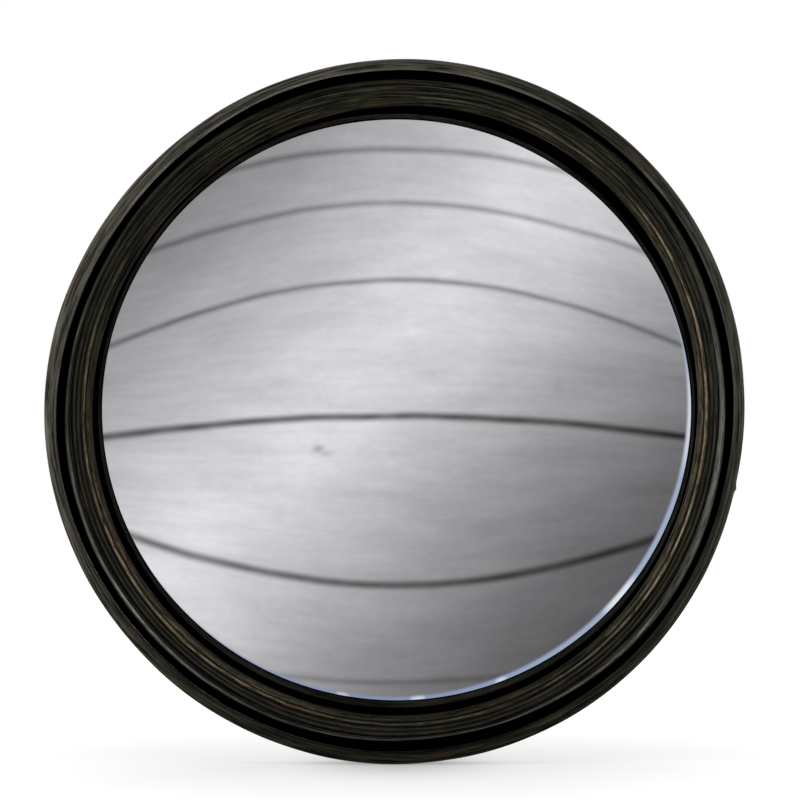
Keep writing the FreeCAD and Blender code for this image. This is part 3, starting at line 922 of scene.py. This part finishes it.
def build_mirror():
    """The frame, slip and glass in the place of their solids."""
    wood = ebonised_wood()
    moulding = frame_moulding()
    # The glass doesn't mirror the frame, so the pale light along its edge reaches the slip
    moulding.visible_glossy = False
    place_piece(moulding, wood, "frame_ring")
    place_piece(slip_ring(), wood, "sight_slip")
    place_piece(mirror_dome(), silvered_glass(), "mirror_glass")


# Studio: a white surround, and a panelled backdrop in front of the mirror that only gloss sees.
# Places on it are directions: across is the x of a ray and up is its z.
WHITE = (1, 1, 1, 1)
FILL = 0.35
# Each seam: height, bow, half its width and how dark it is
PANEL_SEAMS = (
    (0.6485, -0.38, 0.0055, 0.58),
    (0.5280, -0.39, 0.0055, 0.55),
    (0.3400, -0.375, 0.0060, 0.62),
    (-0.0130, -0.10, 0.0090, 0.82),
    (-0.4460, 0.34, 0.0090, 0.75),
    (-0.6680, 0.30, 0.0050, 0.40),
)
SEAM_SOFTNESS = 0.009
SEAM_WAVER = (-0.0025, 0.0025)
SEAM_DEPTHS = (0.86, 1.08)
WAVER_CELLS = (3.0, 1.0, 3.0)
DEPTH_CELLS = (9.0, 1.0, 2.0)
# Each knot in the planks: its place across and up, half its width and height, and how dark it is
PANEL_KNOTS = (
    (-0.204, -0.098, 0.016, 0.010, 0.40),
    (-0.184, -0.112, 0.016, 0.009, 0.22),
    (0.085, 0.096, 0.050, 0.014, 0.10),
    (-0.300, 0.076, 0.050, 0.014, 0.09),
    (0.416, 0.064, 0.014, 0.016, 0.10),
    (-0.110, -0.215, 0.060, 0.012, 0.07),
)
# The planks bow one way above and the other way below
BOW_HEIGHTS = (-0.45, 0.35)
BOWS = (0.34, -0.375)
# Grain of the planks: (cells across and up, detail, roughness, range of tones)
PLANK_GRAINS = (
    ((3.0, 1.0, 11.0), 3.0, 0.5, (0.90, 1.09)),
    ((7.0, 1.0, 42.0), 5.0, 0.6, (0.935, 1.055)),
    ((38.0, 1.0, 60.0), 4.0, 0.7, (0.955, 1.04)),
)
PANEL_TINT = (0.99, 0.965, 1.0)
# A slanting band of light falls on the planks
PANEL_LIGHT = 0.775
LIGHT_ACROSS = 0.72
LIGHT_UP = 0.69
LIGHT_OFFSET = 0.142
LIGHT_HALF_WIDTH = 0.555
LIGHT_POWER = 1.6
# The backdrop ends in a pale, bluish edge and then a dim room
BACKDROP_CENTRE = (-0.0075, 0, 0.0150)
BACKDROP_SCALE = (1, 0, 1.005)
BACKDROP_REACH = 0.7175
BACKDROP_SOFTNESS = 0.004
EDGE_BLUE_LEFT = (0.25, 0.31, 0.50, 1)
EDGE_BLUE_RIGHT = (0.38, 0.45, 0.60, 1)
EDGE_WHITE = (0.86, 0.90, 0.98, 1)
EDGE_SPAN = (-0.1, 0.6)
EDGE_FADE = (0.015, 0.10)
ROOM_LOW = (0.07, 0.07, 0.07, 1)
ROOM_HIGH = (0.36, 0.36, 0.36, 1)
ROOM_SPAN = (-0.8, 0.9)
# Each gleam on that edge: its place across and up, how far it reaches and how bright it is
EDGE_GLEAMS = (
    (0.546, -0.450, 0.070, 0.85),
    (0.715, -0.020, 0.150, 0.62),
    (0.052, -0.706, 0.024, 0.65),
    (0.258, -0.664, 0.022, 0.65),
    (-0.132, -0.695, 0.020, 0.55),
)


def panel_seams(tree, way, across, up):
    """How dark the seams between the planks are."""
    shake = noise(tree, scaled(tree, way, WAVER_CELLS), detail=2.0, roughness=0.5)
    waver = mapped(tree, shake, MIDDLE_NOISE, SEAM_WAVER, "LINEAR")
    patches = noise(tree, scaled(tree, way, DEPTH_CELLS), detail=2.0, roughness=0.5)
    darkest = 0.0
    for height, bow, half, dark in PANEL_SEAMS:
        line = plus(tree, plus(tree, times(tree, squared(tree, across), bow), height), waver)
        gap = sums(tree, "ABSOLUTE", minus(tree, up, line))
        edges = (half - SEAM_SOFTNESS, half + SEAM_SOFTNESS)
        darkest = larger(tree, mapped(tree, gap, edges, (dark, 0.0)), darkest)
    return times(tree, darkest, mapped(tree, patches, MIDDLE_NOISE, SEAM_DEPTHS, "LINEAR"))


def panel_knots(tree, across, up, dark):
    """Darkness with the knots added."""
    for knot_across, knot_up, half_width, half_height, knot_dark in PANEL_KNOTS:
        beside = sums(tree, "DIVIDE", minus(tree, across, knot_across), half_width)
        above = sums(tree, "DIVIDE", minus(tree, up, knot_up), half_height)
        away = plus(tree, squared(tree, beside), squared(tree, above))
        dark = larger(tree, times(tree, fading(tree, away), knot_dark), dark)
    return dark


def band_of_light(tree, across, up):
    """How bright the light on the planks is, from 0 to 1."""
    slant = minus(tree, times(tree, across, LIGHT_ACROSS), times(tree, up, LIGHT_UP))
    aside = sums(tree, "ABSOLUTE", plus(tree, slant, LIGHT_OFFSET))
    share = sums(tree, "DIVIDE", aside, LIGHT_HALF_WIDTH)
    return fading(tree, sums(tree, "POWER", share, LIGHT_POWER))


def panelled_backdrop(tree, way, across, up):
    """Colour of the planks, with their seams, knots and grain in a band of light."""
    dark = panel_knots(tree, across, up, panel_seams(tree, way, across, up))
    bow = mapped(tree, up, BOW_HEIGHTS, BOWS, "LINEAR")
    level = minus(tree, up, times(tree, squared(tree, across), bow))
    plank = node(tree, "ShaderNodeCombineXYZ", {0: across, 2: level}).outputs[0]
    tone = band_of_light(tree, across, up)
    for cells, detail, roughness, tones in PLANK_GRAINS:
        grain = noise(tree, scaled(tree, plank, cells), detail, roughness)
        tone = times(tree, tone, mapped(tree, grain, MIDDLE_NOISE, tones, "LINEAR"))
    tone = times(tree, tone, mapped(tree, dark, UNIT, (PANEL_LIGHT, 0.0), "LINEAR"))
    grey = node(tree, "ShaderNodeCombineXYZ", {0: tone, 1: tone, 2: tone}).outputs[0]
    return scaled(tree, grey, PANEL_TINT)


def backdrop_edge(tree, across, up):
    """Colour of the pale edge round the backdrop, with its gleams."""
    gleam = 0.0
    for gleam_across, gleam_up, reach, bright in EDGE_GLEAMS:
        beside = squared(tree, minus(tree, across, gleam_across))
        above = squared(tree, minus(tree, up, gleam_up))
        here = mapped(tree, plus(tree, beside, above), (0.0, reach**2), (bright, 0.0))
        gleam = larger(tree, here, gleam)
    rightward = mapped(tree, across, EDGE_SPAN, UNIT)
    blue = mixed(tree, rightward, EDGE_BLUE_LEFT, EDGE_BLUE_RIGHT)
    return mixed(tree, gleam, blue, EDGE_WHITE)


def mirrored_room(tree):
    """What gloss sees: the backdrop, the pale edge round it and a dim room past that."""
    way = node(tree, "ShaderNodeTexCoord", {}).outputs["Generated"]
    across, deep, up = parts(tree, way)
    behind = sums(tree, "GREATER_THAN", deep, 0.0)
    from_centre = scaled(tree, vectors(tree, "SUBTRACT", way, BACKDROP_CENTRE), BACKDROP_SCALE)
    past = node(tree, "ShaderNodeVectorMath", {0: from_centre}, operation="LENGTH").outputs["Value"]
    past = minus(tree, past, BACKDROP_REACH)
    on_edge = mapped(tree, past, (-BACKDROP_SOFTNESS, BACKDROP_SOFTNESS), UNIT)
    in_room = mapped(tree, past, EDGE_FADE, UNIT)
    room = mixed(tree, mapped(tree, up, ROOM_SPAN, UNIT), ROOM_LOW, ROOM_HIGH)
    outside = mixed(tree, larger(tree, in_room, behind), backdrop_edge(tree, across, up), room)
    panels = panelled_backdrop(tree, way, across, up)
    return mixed(tree, larger(tree, on_edge, behind), panels, outside)


def background(tree, colour, strength):
    return node(tree, "ShaderNodeBackground", {"Color": colour, "Strength": strength}).outputs[0]


def studio_world():
    """White to the camera, the mirrored room to gloss, and a plain fill light to all else."""
    world = bpy.data.worlds.new("studio")
    bpy.context.scene.world = world
    world.use_nodes = True
    tree = world.node_tree
    tree.nodes.clear()
    path = node(tree, "ShaderNodeLightPath", {}).outputs
    seen = larger(tree, path["Is Camera Ray"], path["Is Transmission Ray"])
    fill = background(tree, WHITE, FILL)
    gloss = background(tree, mirrored_room(tree), 1.0)
    white = background(tree, WHITE, 1.0)
    lit = node(tree, "ShaderNodeMixShader", {0: path["Is Glossy Ray"], 1: fill, 2: gloss})
    shown = node(tree, "ShaderNodeMixShader", {0: seen, 1: lit.outputs[0], 2: white})
    node(tree, "ShaderNodeOutputWorld", {"Surface": shown.outputs[0]})


# Floor: grey paper that glows to white away from the mirror, with a painted soft shadow under the rim
FLOOR_HALF = 4.0
FLOOR_GREY = (0.35, 0.35, 0.35, 1)
FLOOR_BOUNCE = (0.08, 0.08, 0.08, 1)
SHADOW_REACH = 0.12
SHADOW_SAMPLES = 32
SHADOW_OPENNESS = (0.3, 1.0)
SHADOW_DARKNESS = (0.20, 0.0)
CONTACT_WIDTH = (0.0, 0.07)
CONTACT_SHARE = (1.8, 0.3)
GLOW_DISTANCE = (0.05, 0.40)
GLOW = (0.67, 0.88)


def floor_glow(tree):
    """How far the floor glows: less near the mirror, and less again under the rim as painted shadow."""
    shadow = node(tree, "ShaderNodeAmbientOcclusion", {"Distance": SHADOW_REACH}, samples=SHADOW_SAMPLES)
    away = vectors(tree, "DISTANCE", place(tree), (0, 0, FLOOR_Z), "Value")
    aside = sums(tree, "ABSOLUTE", parts(tree, place(tree))["X"])
    painted_contact_shadow = mapped(tree, aside, CONTACT_WIDTH, CONTACT_SHARE)
    shade = times(tree, mapped(tree, shadow.outputs["AO"], SHADOW_OPENNESS, SHADOW_DARKNESS), painted_contact_shadow)
    return minus(tree, mapped(tree, away, GLOW_DISTANCE, GLOW), shade)


def pale_paper():
    """The floor's material: grey paper that glows to the camera and stays dim to all else."""
    material, tree, shader = new_material("pale_floor")
    set_inputs(tree, shader, {"Base Color": FLOOR_GREY, "Roughness": 0.9, "Specular IOR Level": 0.0})
    glow = node(tree, "ShaderNodeEmission", {"Color": WHITE, "Strength": floor_glow(tree)})
    bright = node(tree, "ShaderNodeAddShader", {0: shader.outputs[0], 1: glow.outputs[0]})
    dim = node(tree, "ShaderNodeBsdfDiffuse", {"Color": FLOOR_BOUNCE})
    seen = node(tree, "ShaderNodeLightPath", {}).outputs["Is Camera Ray"]
    pick = node(tree, "ShaderNodeMixShader", {0: seen, 1: dim.outputs[0], 2: bright.outputs[0]})
    set_inputs(tree, tree.nodes["Material Output"], {"Surface": pick.outputs[0]})
    return material


def pale_floor():
    mesh = bpy.data.meshes.new("floor")
    signs = ((-1, -1), (1, -1), (1, 1), (-1, 1))
    corners = [(x * FLOOR_HALF, y * FLOOR_HALF, FLOOR_Z) for x, y in signs]
    mesh.from_pydata(corners, [], [(0, 1, 2, 3)])
    mesh.materials.append(pale_paper())
    floor = linked("floor", mesh)
    floor.visible_glossy = False
    floor.visible_shadow = False


# Lamps: name, place, width and height, watts, and whether the glass mirrors it
LAMPS = (
    ("left_box", (-1.5, -0.55, 0.25), (0.45, 1.1), 18.0, False),
    ("right_box", (1.5, -0.55, 0.25), (0.45, 1.1), 12.0, False),
    ("top_box", (0.0, 0.35, 1.5), (1.0, 0.8), 2.5, True),
    ("back_box", (0.7, 1.7, 0.6), (1.2, 1.2), 12.0, True),
    ("low_left_box", (-1.1, -0.25, -0.86), (0.2, 0.2), 5.0, False),
    ("low_right_box", (1.0, -0.25, -0.93), (0.2, 0.2), 5.0, False),
)


def soft_box(name, at, size, watts, mirrored):
    """A rectangular lamp that faces the middle of the mirror."""
    data = bpy.data.lights.new(name, "AREA")
    data.shape = "RECTANGLE"
    data.size, data.size_y = size
    data.energy = watts
    lamp = linked(name, data)
    lamp.location = at
    lamp.rotation_euler = (-lamp.location).to_track_quat("-Z", "Y").to_euler()
    lamp.visible_glossy = mirrored


# Camera: square on, at the size and place that the mirror has in the photograph
VIEW_DISTANCE = 1.9
VIEW_PLANE_DEPTH = 0.0189
IMAGE_SIZE_PX = 800
RING_RADIUS_PX = 351.4
RING_CENTRE_PX = (396.5, 411.15)
SENSOR_MM = 36.0


def camera():
    data = bpy.data.cameras.new("camera")
    mean_radius = OUTER_RADIUS - FRAME_SHRINK
    data.sensor_width = SENSOR_MM
    data.lens = RING_RADIUS_PX / IMAGE_SIZE_PX * VIEW_DISTANCE / mean_radius * SENSOR_MM
    data.shift_x = 0.5 - RING_CENTRE_PX[0] / IMAGE_SIZE_PX
    data.shift_y = RING_CENTRE_PX[1] / IMAGE_SIZE_PX - 0.5
    made = linked("camera", data)
    made.location = (0, BACK_Y - VIEW_PLANE_DEPTH - VIEW_DISTANCE, 0)
    made.rotation_euler = (math.pi / 2, 0, 0)
    bpy.context.scene.camera = made


build_mirror()
dress_solids()
studio_world()
pale_floor()
for lamp_values in LAMPS:
    soft_box(*lamp_values)
camera()
bpy.context.scene.view_settings.view_transform = "Standard"
